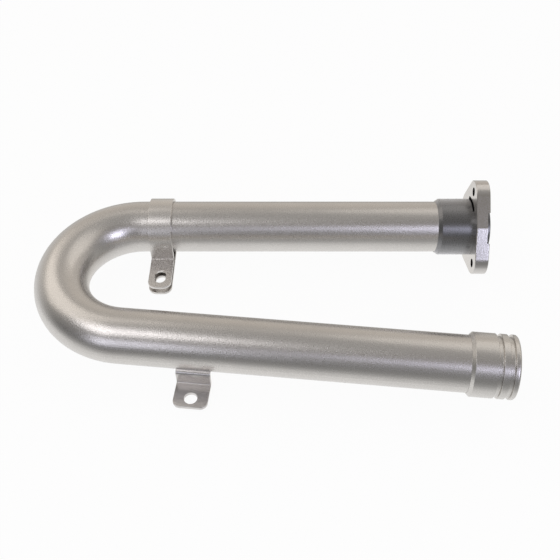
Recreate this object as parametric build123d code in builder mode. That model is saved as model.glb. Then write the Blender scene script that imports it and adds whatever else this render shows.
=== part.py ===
from build123d import *
from math import cos, radians, sin, tan
import os

# Exhaust gas recirculation pipe. A steel tube is bent into a U, with a three-bolt flange on
# a turned collar at one end and a grooved slip sleeve at the other. A folded clamp grips the
# upper leg and a folded support bracket is welded to the lower leg.
#
# Frame: the origin is the centre of the flange's mating face. +X points out of the flange
# along the upper leg's axis, the lower leg lies towards -Y, and +Z is square to the plane
# of the U. All sizes are in millimetres and all angles in degrees.

# Tube
tube_diameter = 38.0
tube_wall = 1.5
bend_radius = 52.7
bend_angle = 174.25
upper_leg_length = 256.3
lower_leg_length = 262.0

# Fits
slip_clearance = 0.05
clamp_clearance = 0.1
weld_gap = 0.05

# Collar, turned from bar, which carries the flange and takes the end of the upper leg
collar_wall = 2.15
collar_reach = 35.9
collar_lead_length = 2.7
collar_lip = 0.2
spigot_height = 1.8
collar_stop_depth = 4.0
collar_edge_break = 0.4

# Flange plate
flange_thickness = 10.0
flange_side_distance = 28.7
flange_side_bow = 7.5
flange_corner_radius = 13.3
flange_clocking = 41.3
flange_edge_break = 0.4
bolt_count = 3
bolt_circle_diameter = 61.0
bolt_hole_diameter = 6.6
relief_width = 22.6
relief_depth = 2.0
key_slot_width = 2.3
key_slot_sweep = 40.0

# Slip sleeve, turned from bar, on the open end of the lower leg
sleeve_wall = 2.2
sleeve_length = 30.4
sleeve_socket_depth = 13.0
sleeve_lead_length = 2.0
sleeve_lip = 0.2
sleeve_end_radius = 1.7
sleeve_bore_chamfer = 0.5
groove_count = 2
groove_width = 3.1
groove_depth = 1.8
groove_pitch = 7.3
groove_flank_angle = 12.0
groove_edge_radius = 0.35
groove_floor_fillet = 0.4
end_land = 3.4

# Clamp, folded from one strip round the upper leg
clamp_setback = 14.1
clamp_width = 17.0
clamp_thickness = 2.2
clamp_ear_length = 28.7
clamp_ear_gap = 3.6
clamp_fold_radius = 0.8
clamp_corner_radius = 6.0
clamp_slot_inset = 10.7
clamp_slot_width = 8.0
clamp_slot_length = 12.0

# Support bracket, folded from one strip and welded to the lower leg
bracket_station = 52.2
bracket_width = 23.4
bracket_thickness = 2.6
bracket_foot_angle = 33.3
bracket_foot_length = 2.9
bracket_web_drop = 10.2
bracket_tab_length = 18.8
bracket_fold_radius = 0.6
bracket_corner_radius = 5.0
bracket_hole_inset = 6.9
bracket_hole_diameter = 9.0
sheet_edge_break = 0.35

# Values worked out from the driving sizes
tube_radius = tube_diameter / 2
bore_radius = tube_radius - tube_wall
socket_radius = tube_radius + slip_clearance
collar_radius = socket_radius + collar_wall
sleeve_radius = socket_radius + sleeve_wall
clamp_station = upper_leg_length - clamp_setback
clamp_radius = tube_radius + clamp_clearance + clamp_thickness
clamp_ear_level = clamp_radius - 2 * clamp_thickness - clamp_ear_gap
clamp_ear_reach = clamp_radius + clamp_ear_length
clamp_slot_reach = clamp_ear_reach - clamp_slot_inset
bracket_web_offset = (tube_radius + bracket_foot_length) * cos(radians(bracket_foot_angle))
bracket_foot_drop = (tube_radius + bracket_foot_length) * sin(radians(bracket_foot_angle))
bracket_foot_start_offset = bore_radius * cos(radians(bracket_foot_angle))
bracket_foot_start_drop = bore_radius * sin(radians(bracket_foot_angle))
bracket_tab_level = bracket_foot_drop + bracket_web_drop
bracket_tab_reach = bracket_web_offset + bracket_tab_length
bracket_hole_reach = bracket_tab_reach - bracket_hole_inset
tube_length_below = lower_leg_length - sleeve_length + sleeve_socket_depth

# Tube: one sweep along the upper leg, the bend and the lower leg
with BuildPart() as bent_tube:
    with BuildLine() as tube_axis:
        upper_run = Line((-collar_stop_depth, 0), (-upper_leg_length, 0))
        bend = JernArc(upper_run @ 1, upper_run % 1, bend_radius, bend_angle)
        lower_run = PolarLine(bend @ 1, tube_length_below, direction=bend % 1)
    with BuildSketch(Plane(upper_run @ 0, x_dir=(0, 1, 0), z_dir=upper_run % 0)):
        Circle(tube_radius)
        Circle(bore_radius, mode=Mode.SUBTRACT)
    sweep()

leg_start = bend @ 1
leg_direction = bend % 1
leg_outward = Vector(leg_direction.Y, -leg_direction.X, 0)
leg_axis = Axis(leg_start, leg_direction)

# Collar: a turned ring with a tapered lead, a socket for the tube and a spigot
with BuildPart() as flange_collar:
    with BuildSketch(Plane.XY):
        with BuildLine():
            Polyline(
                (-collar_reach, socket_radius),
                (-collar_reach, socket_radius + collar_lip),
                (-collar_reach + collar_lead_length, collar_radius),
                (spigot_height - collar_edge_break, collar_radius),
                (spigot_height, collar_radius - collar_edge_break),
                (spigot_height, bore_radius),
                (-collar_stop_depth, bore_radius),
                (-collar_stop_depth, socket_radius),
                close=True,
            )
        make_face()
    revolve(axis=Axis.X)

# Flange plate: its local X axis points to the middle of one side, its Z axis into the plate
flange_side_direction = (0, -cos(radians(flange_clocking)), sin(radians(flange_clocking)))
flange_face = Plane((0, 0, 0), x_dir=flange_side_direction, z_dir=(-1, 0, 0))
half_step = 180 / bolt_count
corner_distance = flange_side_distance / (
    cos(radians(half_step)) + sin(radians(half_step)) * tan(radians(flange_side_bow))
)
outline_points = []
for side in range(bolt_count):
    side_angle = radians(2 * side * half_step)
    corner_angle = radians((2 * side + 1) * half_step)
    side_point = (flange_side_distance * cos(side_angle), flange_side_distance * sin(side_angle))
    corner_point = (corner_distance * cos(corner_angle), corner_distance * sin(corner_angle))
    outline_points += [side_point, corner_point]

with BuildPart() as flange_plate:
    with BuildSketch(flange_face) as flange_outline:
        with BuildLine():
            Polyline(*outline_points, close=True)
        make_face()
        corners = flange_outline.vertices().sort_by(lambda corner: Vector(*corner).length)[-bolt_count:]
        fillet(corners, flange_corner_radius)
    extrude(amount=flange_thickness)
    face_edges = flange_plate.edges().filter_by(GeomType.LINE).filter_by(Axis.X, reverse=True)
    chamfer(face_edges, flange_edge_break)
    # Collar seat, with a short arc slot beside it that clocks the plate
    with BuildSketch(flange_face):
        Circle(collar_radius + slip_clearance)
    extrude(amount=flange_thickness, mode=Mode.SUBTRACT)
    with BuildSketch(flange_face):
        with BuildLine() as key_slot_line:
            CenterArc((0, 0), collar_radius, half_step - key_slot_sweep / 2, key_slot_sweep)
        SlotArc(key_slot_line.edges()[0], 2 * key_slot_width)
    extrude(amount=flange_thickness, mode=Mode.SUBTRACT)
    # Bolt holes
    with BuildSketch(flange_face):
        with PolarLocations(bolt_circle_diameter / 2, bolt_count, start_angle=half_step):
            Circle(bolt_hole_diameter / 2)
    extrude(amount=flange_thickness, mode=Mode.SUBTRACT)
    # Reliefs in the mating face, one through the middle of each side
    with BuildSketch(flange_face):
        with PolarLocations(0, bolt_count):
            Rectangle(2 * flange_side_distance, relief_width, align=(Align.MIN, Align.CENTER))
    extrude(amount=relief_depth, mode=Mode.SUBTRACT)

# Slip sleeve: turned, with a tapered lead, two seal grooves and a rounded open end. Its
# local X axis runs along the lower leg from the start of the sleeve.
sleeve_start = leg_start + leg_direction * (lower_leg_length - sleeve_length)
sleeve_plane = Plane(sleeve_start, x_dir=leg_direction, z_dir=(0, 0, 1))
groove_lean = groove_depth * tan(radians(groove_flank_angle))
groove_floor_radius = sleeve_radius - groove_depth

with BuildPart() as slip_sleeve:
    with BuildSketch(sleeve_plane) as sleeve_profile:
        with BuildLine():
            Polyline(
                (0, socket_radius),
                (0, socket_radius + sleeve_lip),
                (sleeve_lead_length, sleeve_radius),
                (sleeve_length, sleeve_radius),
                (sleeve_length, bore_radius),
                (sleeve_socket_depth, bore_radius),
                (sleeve_socket_depth, socket_radius),
                close=True,
            )
        make_face()
        for groove in range(groove_count):
            groove_end = sleeve_length - end_land - groove * groove_pitch
            groove_start = groove_end - groove_width
            with BuildLine():
                Polyline(
                    (groove_start, sleeve_radius),
                    (groove_start + groove_lean, groove_floor_radius),
                    (groove_end - groove_lean, groove_floor_radius),
                    (groove_end, sleeve_radius),
                    close=True,
                )
            make_face(mode=Mode.SUBTRACT)
        floor_corners = sleeve_profile.vertices().filter_by(
            lambda corner: abs(corner.Y - groove_floor_radius) < slip_clearance
        )
        fillet(floor_corners, groove_floor_fillet)
        fillet(sleeve_profile.vertices().group_by(Axis.Y)[-1].sort_by(Axis.X)[-1], sleeve_end_radius)
        fillet(sleeve_profile.vertices().group_by(Axis.Y)[-1].sort_by(Axis.X)[:-1], groove_edge_radius)
        chamfer(sleeve_profile.vertices().group_by(Axis.X)[-1], sleeve_bore_chamfer)
    revolve(axis=leg_axis)

# Clamp: the strip's outer face is drawn square to the upper leg and thickened inwards. Local
# X points from the upper leg to the lower one and local Y up.
clamp_plane = Plane((-clamp_station, 0, 0), x_dir=(0, -1, 0), z_dir=(-1, 0, 0))

with BuildPart() as pipe_clamp:
    with BuildSketch(clamp_plane):
        with BuildLine():
            Line((clamp_ear_reach, -clamp_radius), (0, -clamp_radius))
            CenterArc((0, 0), clamp_radius, -90, -270)
            FilletPolyline(
                (clamp_radius, 0),
                (clamp_radius, -clamp_ear_level),
                (clamp_ear_reach, -clamp_ear_level),
                radius=clamp_fold_radius,
            )
            offset(amount=clamp_thickness, side=Side.RIGHT)
        make_face()
    extrude(amount=clamp_width / 2, both=True)
    fillet(pipe_clamp.edges().filter_by(Axis.Z).group_by(Axis.Y)[0], clamp_corner_radius)
    with BuildSketch(Plane.XY):
        with Locations((-clamp_station, -clamp_slot_reach)):
            SlotOverall(clamp_slot_length, clamp_slot_width, rotation=90)
    extrude(amount=-clamp_radius, mode=Mode.SUBTRACT)
    clamp_sides = pipe_clamp.faces().filter_by(Axis.X)
    fillet(clamp_sides.edges(), sheet_edge_break)

# Bracket: the strip's upper face is drawn square to the lower leg, local X pointing away
# from the U and local Y up. Its foot stands square on the tube, its web hangs straight down
# and its tab lies level.
bracket_centre = leg_start + leg_direction * bracket_station
bracket_plane = Plane(bracket_centre, x_dir=leg_outward, z_dir=leg_direction * -1)

with BuildPart() as support_bracket:
    with BuildSketch(bracket_plane):
        with BuildLine():
            FilletPolyline(
                (bracket_foot_start_offset, -bracket_foot_start_drop),
                (bracket_web_offset, -bracket_foot_drop),
                (bracket_web_offset, -bracket_tab_level),
                (bracket_tab_reach, -bracket_tab_level),
                radius=[bracket_fold_radius + bracket_thickness, bracket_fold_radius],
            )
            offset(amount=bracket_thickness, side=Side.RIGHT)
        make_face()
        Circle(tube_radius + weld_gap, mode=Mode.SUBTRACT)
    extrude(amount=bracket_width / 2, both=True)
    tab_corners = support_bracket.edges().filter_by(Axis.Z).group_by(Axis((0, 0, 0), leg_outward))[-1]
    fillet(tab_corners, bracket_corner_radius)
    with BuildSketch(Plane(bracket_centre, x_dir=leg_outward, z_dir=(0, 0, 1))):
        with Locations((bracket_hole_reach, 0)):
            Circle(bracket_hole_diameter / 2)
    extrude(amount=-2 * bracket_tab_level, mode=Mode.SUBTRACT)
    fillet(support_bracket.faces().filter_by(leg_axis).edges(), sheet_edge_break)

pieces = {
    "bent_tube": bent_tube,
    "flange_collar": flange_collar,
    "flange_plate": flange_plate,
    "slip_sleeve": slip_sleeve,
    "pipe_clamp": pipe_clamp,
    "support_bracket": support_bracket,
}

os.makedirs("parts", exist_ok=True)
for name, piece in pieces.items():
    piece.part.label = name
    export_step(piece.part, f"parts/{name}.step")
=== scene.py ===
import math

import bpy
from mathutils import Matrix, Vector


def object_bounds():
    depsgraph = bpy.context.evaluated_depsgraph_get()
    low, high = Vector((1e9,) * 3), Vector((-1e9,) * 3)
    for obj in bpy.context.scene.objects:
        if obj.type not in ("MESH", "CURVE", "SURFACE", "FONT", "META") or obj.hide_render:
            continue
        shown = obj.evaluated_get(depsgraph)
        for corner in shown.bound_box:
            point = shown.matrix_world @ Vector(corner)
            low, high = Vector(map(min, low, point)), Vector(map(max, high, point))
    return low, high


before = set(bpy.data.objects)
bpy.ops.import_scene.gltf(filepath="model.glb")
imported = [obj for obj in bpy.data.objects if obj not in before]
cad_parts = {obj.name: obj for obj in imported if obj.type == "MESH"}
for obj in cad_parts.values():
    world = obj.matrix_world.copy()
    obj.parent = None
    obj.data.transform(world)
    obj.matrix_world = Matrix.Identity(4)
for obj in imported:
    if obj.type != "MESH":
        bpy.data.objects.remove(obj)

# Exhaust gas recirculation pipe, photographed from above its front on a white sweep.
# Metres, in the part's own frame: +X out of the flange, -Y to the lower leg, +Z up.

CAD_LOW, CAD_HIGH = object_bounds()
AIM = (CAD_LOW + CAD_HIGH) / 2
MM = 0.001
UPPER_AXIS = (1.0, 0.0, 0.0)
LOWER_AXIS = (0.994969, -0.100188, 0.0)

scene = bpy.context.scene
scene.view_settings.view_transform = "Standard"


# Node helpers

def link(tree, source, target):
    """Sets a socket: to another socket's value, a number, or a colour or vector."""
    if isinstance(source, bpy.types.NodeSocket):
        tree.links.new(source, target)
    elif isinstance(source, (int, float)):
        target.default_value = source
    else:
        size = len(target.default_value)
        target.default_value = (*source, 1.0)[:size]


def maths(tree, operation, *values):
    node = tree.nodes.new("ShaderNodeMath")
    node.operation = operation
    for socket, value in zip(node.inputs, values):
        link(tree, value, socket)
    return node.outputs["Value"]


def blend_sum(tree, *parts):
    """The sum of (value, weight) pairs."""
    total = maths(tree, "MULTIPLY", *parts[0])
    for value, weight in parts[1:]:
        total = maths(tree, "MULTIPLY_ADD", value, weight, total)
    return total


def remap(tree, value, low, high, to_low=0.0, to_high=1.0):
    """`value` from low..high to to_low..to_high, clamped."""
    node = tree.nodes.new("ShaderNodeMapRange")
    node.inputs["From Min"].default_value = low
    node.inputs["From Max"].default_value = high
    node.inputs["To Min"].default_value = to_low
    node.inputs["To Max"].default_value = to_high
    link(tree, value, node.inputs["Value"])
    return node.outputs["Result"]


def mix_colours(tree, factor, a, b):
    node = tree.nodes.new("ShaderNodeMix")
    node.data_type = "RGBA"
    link(tree, factor, node.inputs["Factor"])
    for name, value in (("A", a), ("B", b)):
        link(tree, value, next(s for s in node.inputs if s.name == name and s.type == "RGBA"))
    return next(s for s in node.outputs if s.type == "RGBA")


def noise(tree, place, size, detail, roughness=0.5):
    """Noise whose features are about `size` metres across."""
    node = tree.nodes.new("ShaderNodeTexNoise")
    node.inputs["Scale"].default_value = 1.0 / size
    node.inputs["Detail"].default_value = detail
    node.inputs["Roughness"].default_value = roughness
    link(tree, place, node.inputs["Vector"])
    return node.outputs["Fac"]


def rings(tree, place, axis, size):
    """Noise along `axis` only, which makes the fine rings of a lathe."""
    along = tree.nodes.new("ShaderNodeVectorMath")
    along.operation = "DOT_PRODUCT"
    link(tree, place, along.inputs[0])
    along.inputs[1].default_value = axis
    node = tree.nodes.new("ShaderNodeTexNoise")
    node.noise_dimensions = "1D"
    node.inputs["Scale"].default_value = 1.0 / size
    node.inputs["Detail"].default_value = 3.0
    link(tree, along.outputs["Value"], node.inputs["W"])
    return node.outputs["Fac"]


# Steel

GRAIN = 0.72 * MM
COARSE_GRAIN = 2.5 * GRAIN
STAIN = 38 * MM
LATHE_RING = 0.4 * MM

# The part of 0..1 in which nearly all of a noise lies
GRAIN_RANGE = (0.3, 0.7)
STAIN_RANGE = (0.35, 0.65)


def satin_steel(name, colour, roughness, depth, speckle=0.055, stain=0.05, uneven=0.045,
                axis=None):
    """Blasted steel: a fine grain in height, shade and gloss, and faint stains.

    `speckle` and `stain` are how far the grain and the stains spread the shade, `depth` is
    the height of the grain in metres, and `uneven` how far the roughness goes up and down.
    `axis` is the axis of a turned piece, which gets the rings of the lathe.
    """
    material = bpy.data.materials.new(name)
    material.use_nodes = True
    tree = material.node_tree
    shader = tree.nodes["Principled BSDF"]
    shader.inputs["Metallic"].default_value = 1.0
    place = tree.nodes.new("ShaderNodeTexCoord").outputs["Object"]

    fine = noise(tree, place, GRAIN, detail=0.0)
    coarse = noise(tree, place, COARSE_GRAIN, detail=1.0)
    cloud = noise(tree, place, STAIN, detail=4.0, roughness=0.55)

    half_spread = (speckle + stain) / 2
    shade = blend_sum(tree, (remap(tree, fine, *GRAIN_RANGE), speckle),
                      (remap(tree, cloud, *STAIN_RANGE), stain))
    factor = remap(tree, shade, 0.0, 2 * half_spread)
    dark = tuple(c * (1 - half_spread) for c in colour)
    light = tuple(c * (1 + half_spread) for c in colour)
    link(tree, mix_colours(tree, factor, dark, light), shader.inputs["Base Color"])

    gloss = blend_sum(tree, (fine, 0.7), (coarse, 0.1), (cloud, 0.2))
    rough = remap(tree, gloss, *GRAIN_RANGE, roughness + uneven, roughness - uneven)
    link(tree, rough, shader.inputs["Roughness"])

    height = blend_sum(tree, (fine, 0.75), (coarse, 0.25))
    if axis:
        lathe = rings(tree, place, axis, LATHE_RING)
        height = blend_sum(tree, (height, 0.85), (lathe, 0.03))
    bump = tree.nodes.new("ShaderNodeBump")
    bump.inputs["Strength"].default_value = 1.0
    bump.inputs["Distance"].default_value = depth
    link(tree, height, bump.inputs["Height"])
    for surface in ("Normal", "Coat Normal"):
        link(tree, bump.outputs["Normal"], shader.inputs[surface])
    return material


# Painted shade: bore walls are painted near black, rough and without coat or sheen
BORE_SHADE_COLOUR = (0.012, 0.012, 0.012)
BORE_SHADE_FINISH = (("Roughness", 0.8), ("Coat Weight", 0.0), ("Sheen Weight", 0.0))
# The painted shade fades out between these two distances outside a bore's radius
BORE_FADE_START = 0.1 * MM
BORE_FADE_END = 0.3 * MM
# Half the length over which it fades at each end of its span
SPAN_FADE = 0.1 * MM
# A face is a wall where its normal's X is under the first, and none over the second
WALL_LEAN = 0.5
FACE_LEAN = 0.7
WHOLE_PART = (-1.0, 1.0)


def paint_bore_shade(material, bores, span=WHOLE_PART):
    """Darkens the walls of holes that run along X.

    A bore is (y, z, radius) in metres, and `span` the stretch of X it darkens. The darkening
    is painted shade: a near-black colour, rough, without coat or sheen.
    """
    tree = material.node_tree
    shader = tree.nodes["Principled BSDF"]
    coordinates = tree.nodes.new("ShaderNodeTexCoord")
    place = tree.nodes.new("ShaderNodeSeparateXYZ")
    link(tree, coordinates.outputs["Object"], place.inputs["Vector"])
    facing = tree.nodes.new("ShaderNodeSeparateXYZ")
    link(tree, coordinates.outputs["Normal"], facing.inputs["Vector"])
    lean = maths(tree, "ABSOLUTE", facing.outputs["X"])
    wall = remap(tree, lean, FACE_LEAN, WALL_LEAN)
    inside = 0.0
    for y, z, radius in bores:
        across = maths(tree, "SUBTRACT", place.outputs["Y"], y)
        above = maths(tree, "SUBTRACT", place.outputs["Z"], z)
        distance = maths(tree, "SQRT", blend_sum(tree, (across, across), (above, above)))
        near = remap(tree, distance, radius + BORE_FADE_END, radius + BORE_FADE_START)
        inside = maths(tree, "MAXIMUM", inside, near)
    start, end = span
    after_start = remap(tree, place.outputs["X"], start - SPAN_FADE, start + SPAN_FADE)
    before_end = remap(tree, place.outputs["X"], end + SPAN_FADE, end - SPAN_FADE)
    inside = maths(tree, "MULTIPLY", inside, after_start)
    inside = maths(tree, "MULTIPLY", inside, before_end)
    factor = maths(tree, "MULTIPLY", wall, inside)

    # Painted shade: the steel's colour is mixed towards black on the bore walls
    steel_colour = shader.inputs["Base Color"].links[0].from_socket
    shaded_colour = mix_colours(tree, factor, steel_colour, BORE_SHADE_COLOUR)
    link(tree, shaded_colour, shader.inputs["Base Color"])
    for socket, shade_value in BORE_SHADE_FINISH:
        target = shader.inputs[socket]
        plain = target.links[0].from_socket if target.is_linked else target.default_value
        if plain != shade_value:
            change = maths(tree, "SUBTRACT", shade_value, plain)
            link(tree, maths(tree, "MULTIPLY_ADD", change, factor, plain), target)


def round_upper_leg(radius, angle):
    """The (y, z) of a point round the upper leg's axis, its angle in degrees up from -Y."""
    return -radius * math.cos(math.radians(angle)), radius * math.sin(math.radians(angle))


def dress(node, material):
    """Gives every material slot of a CAD node this material."""
    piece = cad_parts[node]
    if not piece.material_slots:
        raise RuntimeError(node + " has no material slot")
    for place in piece.material_slots:
        place.material = material


tube_steel = satin_steel("blasted_tube_steel", (0.635, 0.613, 0.588),
                         roughness=0.30, depth=0.065 * MM)
sleeve_steel = satin_steel("turned_sleeve_steel", (0.62, 0.60, 0.575),
                           roughness=0.29, depth=0.04 * MM, uneven=0.03, axis=LOWER_AXIS)
collar_steel = satin_steel("dark_collar_steel", (0.10, 0.10, 0.103),
                           roughness=0.28, depth=0.04 * MM, uneven=0.03, axis=UPPER_AXIS)
flange_steel = satin_steel("milled_flange_steel", (0.62, 0.60, 0.58),
                           roughness=0.20, depth=0.04 * MM, uneven=0.03)
strip_steel = satin_steel("pressed_strip_steel", (0.71, 0.686, 0.658),
                          roughness=0.29, depth=0.03 * MM, speckle=0.06, uneven=0.035)
bracket_steel = satin_steel("pressed_bracket_steel", (0.645, 0.625, 0.61),
                            roughness=0.25, depth=0.015 * MM, speckle=0.03, uneven=0.015)

# A coat and a sheen over the collar's dark steel
COLLAR_SKIN = (("Coat Weight", 1.0), ("Coat IOR", 1.9), ("Coat Roughness", 0.28),
               ("Sheen Weight", 1.0), ("Sheen Roughness", 0.5))
for socket, value in COLLAR_SKIN:
    collar_steel.node_tree.nodes["Principled BSDF"].inputs[socket].default_value = value

# Painted shade: the walls of the flange's holes are painted black. Its key slot opens to the
# collar, and painted shade darkens the collar along that slot: a row of small circles on the
# collar's radius follows it.
BOLT_CIRCLE_RADIUS = 30.5 * MM
BOLT_HOLE_RADIUS = 3.3 * MM
BOLT_HOLE_ANGLES = (101.3, 221.3, 341.3)
COLLAR_RADIUS = 21.2 * MM
KEY_SLOT_RADIUS = 23.55 * MM
KEY_SLOT_ANGLES = range(83, 121, 4)
# The stretch of the collar along X that gets the painted shade
KEY_SLOT_SHADE_SPAN = (-10.6 * MM, 0.2 * MM)

bolt_holes = [(*round_upper_leg(BOLT_CIRCLE_RADIUS, angle), BOLT_HOLE_RADIUS)
              for angle in BOLT_HOLE_ANGLES]
collar_seat = (0.0, 0.0, KEY_SLOT_RADIUS)
key_slot_shade = [(*round_upper_leg(COLLAR_RADIUS, angle), KEY_SLOT_RADIUS - COLLAR_RADIUS)
            for angle in KEY_SLOT_ANGLES]
# Painted shade in the flange's bolt holes and seat bore, and on the collar along its key slot
paint_bore_shade(flange_steel, bolt_holes + [collar_seat])
paint_bore_shade(collar_steel, key_slot_shade, span=KEY_SLOT_SHADE_SPAN)

dress("bent_tube", tube_steel)
dress("slip_sleeve", sleeve_steel)
dress("flange_collar", collar_steel)
dress("flange_plate", flange_steel)
dress("pipe_clamp", strip_steel)
dress("support_bracket", bracket_steel)


# Floor: a white sweep that keeps a faint shadow

FLOOR_HALF = 3.0
FLOOR_DROP = 0.2 * MM
FLOOR_PAINT = (0.9, 0.9, 0.9, 1.0)
# How much of what the camera and the steel see of the floor is plain white
FLOOR_WHITE = 0.95

floor_level = CAD_LOW.z - FLOOR_DROP
floor_corners = [(x * FLOOR_HALF, y * FLOOR_HALF, floor_level)
                 for x, y in ((-1, -1), (1, -1), (1, 1), (-1, 1))]
floor_mesh = bpy.data.meshes.new("floor")
floor_mesh.from_pydata(floor_corners, [], [(0, 1, 2, 3)])
floor = bpy.data.objects.new("floor", floor_mesh)
scene.collection.objects.link(floor)

floor_material = bpy.data.materials.new("white_sweep")
floor_material.use_nodes = True
tree = floor_material.node_tree
tree.nodes.clear()
paint = tree.nodes.new("ShaderNodeBsdfDiffuse")
paint.inputs["Color"].default_value = FLOOR_PAINT
white = tree.nodes.new("ShaderNodeEmission")
white.inputs["Strength"].default_value = 1.0
rays = tree.nodes.new("ShaderNodeLightPath")
mirrored = maths(tree, "MAXIMUM", rays.outputs["Is Glossy Ray"],
                 rays.outputs["Is Transmission Ray"])
seen = maths(tree, "MAXIMUM", rays.outputs["Is Camera Ray"], mirrored)
blend = tree.nodes.new("ShaderNodeMixShader")
link(tree, maths(tree, "MULTIPLY", seen, FLOOR_WHITE), blend.inputs["Fac"])
link(tree, paint.outputs["BSDF"], blend.inputs[1])
link(tree, white.outputs["Emission"], blend.inputs[2])
end = tree.nodes.new("ShaderNodeOutputMaterial")
link(tree, blend.outputs["Shader"], end.inputs["Surface"])
floor.data.materials.append(floor_material)
floor.visible_glossy = False


# World: a room over the white sweep, with walls and tints set until the steel showed
# the photo's light and dark bands. Each wall is a ramp over the direction's height, from
# straight down at -1 to straight up at 1, and the walls blend round the part. Azimuth 0 is
# the front, 90 is +X.

def grey(level):
    return (level, level, level)


CEILING = (0.385, 0.375, 0.365)
SWEEP = (1.0, 1.0, 1.0)
BACK = [
    (-1.0, SWEEP), (-0.7, (0.97, 0.95, 0.92)), (-0.45, (0.33, 0.315, 0.295)),
    (-0.05, (0.68, 0.65, 0.61)), (0.35, (0.71, 0.655, 0.595)), (1.0, CEILING),
]
BACK_LEFT = [
    (-1.0, SWEEP), (-0.5, SWEEP), (-0.25, grey(0.86)),
    (0.0, (0.69, 0.67, 0.65)), (0.4, (0.47, 0.45, 0.42)), (1.0, CEILING),
]
LEFT = [
    (-1.0, SWEEP), (-0.42, SWEEP), (-0.22, grey(0.46)),
    (0.05, grey(0.15)), (0.5, (0.25, 0.245, 0.24)), (1.0, CEILING),
]
FRONT_LEFT = [
    (-1.0, SWEEP), (-0.68, grey(0.97)), (-0.42, grey(0.46)), (-0.2, grey(0.21)),
    (0.0, grey(0.20)), (0.7, (0.28, 0.27, 0.26)), (1.0, CEILING),
]
FRONT = [
    (-1.0, SWEEP), (-0.8, grey(0.88)), (-0.45, grey(0.45)), (-0.15, (0.31, 0.31, 0.305)),
    (0.3, grey(0.26)), (0.6, (0.36, 0.35, 0.34)), (0.8, (0.27, 0.255, 0.235)), (1.0, CEILING),
]
BACK_RIGHT = [
    (-1.0, SWEEP), (-0.7, (0.90, 0.885, 0.865)), (-0.35, (0.57, 0.56, 0.54)),
    (-0.05, (0.74, 0.72, 0.69)), (0.35, (0.54, 0.51, 0.48)), (1.0, CEILING),
]
WALLS = [
    (-180, BACK), (-118, BACK_LEFT), (-75, LEFT), (-30, FRONT_LEFT),
    (20, FRONT), (65, FRONT), (115, BACK_RIGHT), (180, BACK),
]

world = bpy.data.worlds.new("studio")
scene.world = world
world.use_nodes = True
tree = world.node_tree
tree.nodes.clear()
direction = tree.nodes.new("ShaderNodeTexCoord").outputs["Generated"]
axes = tree.nodes.new("ShaderNodeSeparateXYZ")
link(tree, direction, axes.inputs["Vector"])
ramp_place = maths(tree, "MULTIPLY_ADD", axes.outputs["Z"], 0.5, 0.5)
forwards = maths(tree, "MULTIPLY", axes.outputs["Y"], -1.0)
azimuth = maths(tree, "ARCTAN2", axes.outputs["X"], forwards)


def wall_colour(stops):
    """A smooth colour ramp over the direction's height."""
    node = tree.nodes.new("ShaderNodeValToRGB")
    node.color_ramp.interpolation = "EASE"
    while len(node.color_ramp.elements) < len(stops):
        node.color_ramp.elements.new(0.5)
    for element, (height, colour) in zip(node.color_ramp.elements, stops):
        element.position = (height + 1) / 2
        element.color = (*colour, 1.0)
    link(tree, ramp_place, node.inputs["Fac"])
    return node.outputs["Color"]


room = wall_colour(WALLS[0][1])
for (from_azimuth, _), (to_azimuth, stops) in zip(WALLS, WALLS[1:]):
    factor = remap(tree, azimuth, math.radians(from_azimuth), math.radians(to_azimuth))
    room = mix_colours(tree, factor, room, wall_colour(stops))

inside = tree.nodes.new("ShaderNodeBackground")
link(tree, room, inside.inputs["Color"])
plain = tree.nodes.new("ShaderNodeBackground")
plain.inputs["Color"].default_value = (*SWEEP, 1.0)
rays = tree.nodes.new("ShaderNodeLightPath")
blend = tree.nodes.new("ShaderNodeMixShader")
link(tree, rays.outputs["Is Camera Ray"], blend.inputs["Fac"])
link(tree, inside.outputs["Background"], blend.inputs[1])
link(tree, plain.outputs["Background"], blend.inputs[2])
end = tree.nodes.new("ShaderNodeOutputWorld")
link(tree, blend.outputs["Shader"], end.inputs["Surface"])


# Softboxes, also set against the photo

LAMP_DISTANCE = 2.2
# Watts per square metre of a lamp for a level of 1
UNIT_POWER = 4.0


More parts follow.
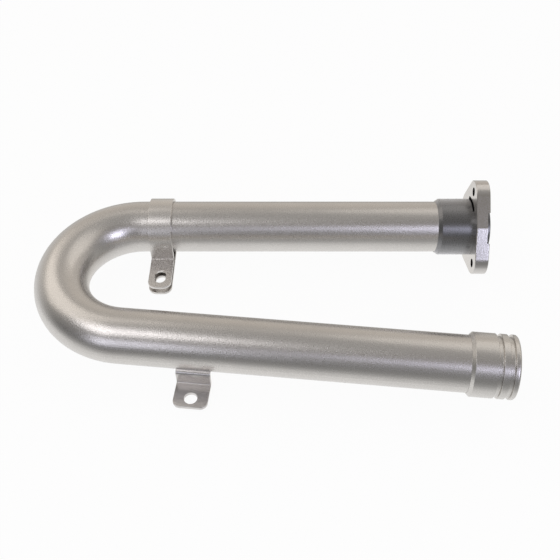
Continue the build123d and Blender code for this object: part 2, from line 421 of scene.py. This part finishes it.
def softbox(name, azimuth, elevation, width, height, level, colour):
    """A soft lamp that faces the part. Its place and its size are in degrees, seen from the
    part."""
    around, up = math.radians(azimuth), math.radians(elevation)
    towards = Vector((math.sin(around) * math.cos(up), -math.cos(around) * math.cos(up),
                      math.sin(up)))
    lamp = bpy.data.lights.new(name, "AREA")
    lamp.shape = "RECTANGLE"
    lamp.size = 2 * LAMP_DISTANCE * math.tan(math.radians(width / 2))
    lamp.size_y = 2 * LAMP_DISTANCE * math.tan(math.radians(height / 2))
    lamp.energy = level * UNIT_POWER * lamp.size * lamp.size_y
    lamp.color = colour
    box = bpy.data.objects.new(name, lamp)
    scene.collection.objects.link(box)
    box.location = AIM + towards * LAMP_DISTANCE
    box.rotation_euler = towards.to_track_quat("Z", "Y").to_euler()
    box.visible_camera = False


# Name, azimuth, elevation, width, height, level, colour
SOFTBOXES = [
    ("key", -54, 57, 29, 25, 1.45, (1.0, 0.985, 1.02)),
    ("front_left", -31, 19.5, 26, 24, 1.01, (0.91, 0.92, 1.07)),
    ("front_right", 33.8, 26, 24, 22, 1.7, (0.865, 0.875, 1.12)),
    ("front_core", 37, 24, 11, 11, 1.5, (0.90, 0.90, 1.06)),
    ("front_fill", 27, 38, 52, 14, 0.45, (0.87, 0.87, 1.12)),
    ("back_left", -120, 44, 44, 44, 0.54, (1.0, 0.93, 0.86)),
    ("back_right", 125, 50, 50, 40, 0.40, (1.0, 0.95, 0.89)),
]
for row in SOFTBOXES:
    softbox(*row)


# Camera: fitted to the tube's outline in the photo, 48 degrees above the plane of the U

CAMERA_PLACE = (-0.15333, -0.42758, 0.41398)
CAMERA_TILT = 42.0

lens = bpy.data.cameras.new("camera")
lens.lens = 50.0
lens.sensor_width = 36.0
lens.clip_start = 0.01
lens.clip_end = 50.0
camera = bpy.data.objects.new("camera", lens)
scene.collection.objects.link(camera)
camera.location = CAMERA_PLACE
camera.rotation_euler = (math.radians(CAMERA_TILT), 0.0, 0.0)
scene.camera = camera
